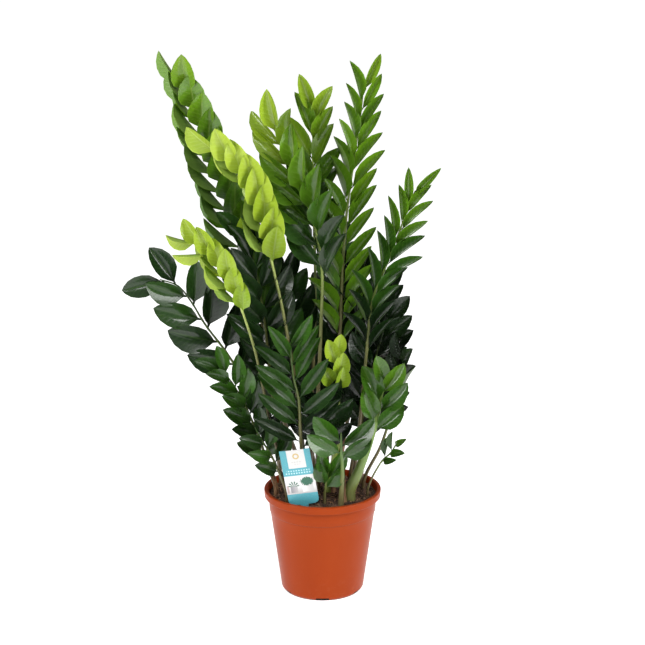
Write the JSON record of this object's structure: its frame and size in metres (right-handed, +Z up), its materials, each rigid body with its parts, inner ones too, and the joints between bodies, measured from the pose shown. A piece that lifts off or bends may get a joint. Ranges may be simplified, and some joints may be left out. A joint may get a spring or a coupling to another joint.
{
  "type": "potted zz plant",
  "caption": "Bushy ZZ plant in a round plastic nursery pot of potting mix: arching fronds with two ranks of glossy pointed leaflets, and a plant label.",
  "frame": {"origin": "middle of the pot's foot, on the surface that the pot stands on", "axes": "+Z up along the pot's axis, -Y towards the side that the label faces, +X to that viewer's right"},
  "size_m": [0.5496, 0.3746, 0.9759],
  "materials": {
    "pot": "smooth moulded plastic, soft sheen",
    "mix": "crumbly fibrous potting mix, matte",
    "label": "printed plastic card, semi gloss",
    "sheath": "dry papery sheath, matte",
    "lime_leaf": "young waxy leaf, semi gloss",
    "fresh_leaf": "waxy leaf, glossy",
    "green_leaf": "waxy leaf, glossy",
    "dark_leaf": "mature waxy leaf, high gloss",
    "blackish_leaf": "old waxy leaf in deep shade green, high gloss"
  },
  "bodies": {
    "root": {"nursery_pot": "pot", "potting_mix": "mix", "plant_label": "label", "sheath_young_shoot": "sheath", "sheath_low_left": "sheath", "sheath_stout_front": "sheath", "frond_tall_left": "fresh_leaf", "frond_lime_arching": "lime_leaf", "frond_lime_small": "lime_leaf", "frond_dark_far_left": "dark_leaf", "frond_low_left": "dark_leaf", "frond_centre_front": "dark_leaf", "frond_low_front": "dark_leaf", "frond_centre_left": "green_leaf", "frond_centre_tall": "fresh_leaf", "frond_right_tall": "green_leaf", "frond_right_arching": "green_leaf", "frond_dark_right": "blackish_leaf", "frond_low_right": "dark_leaf", "frond_stout_front": "green_leaf", "frond_young_shoot": "lime_leaf", "frond_black_right": "blackish_leaf", "frond_dark_left": "dark_leaf", "frond_dark_back_left": "dark_leaf", "frond_dark_back_right": "blackish_leaf", "frond_back_centre": "dark_leaf", "frond_back_right": "dark_leaf", "frond_back_left": "dark_leaf", "frond_dark_low_centre": "blackish_leaf", "frond_small_left": "dark_leaf", "frond_small_front": "dark_leaf"}
  },
  "joints": []
}
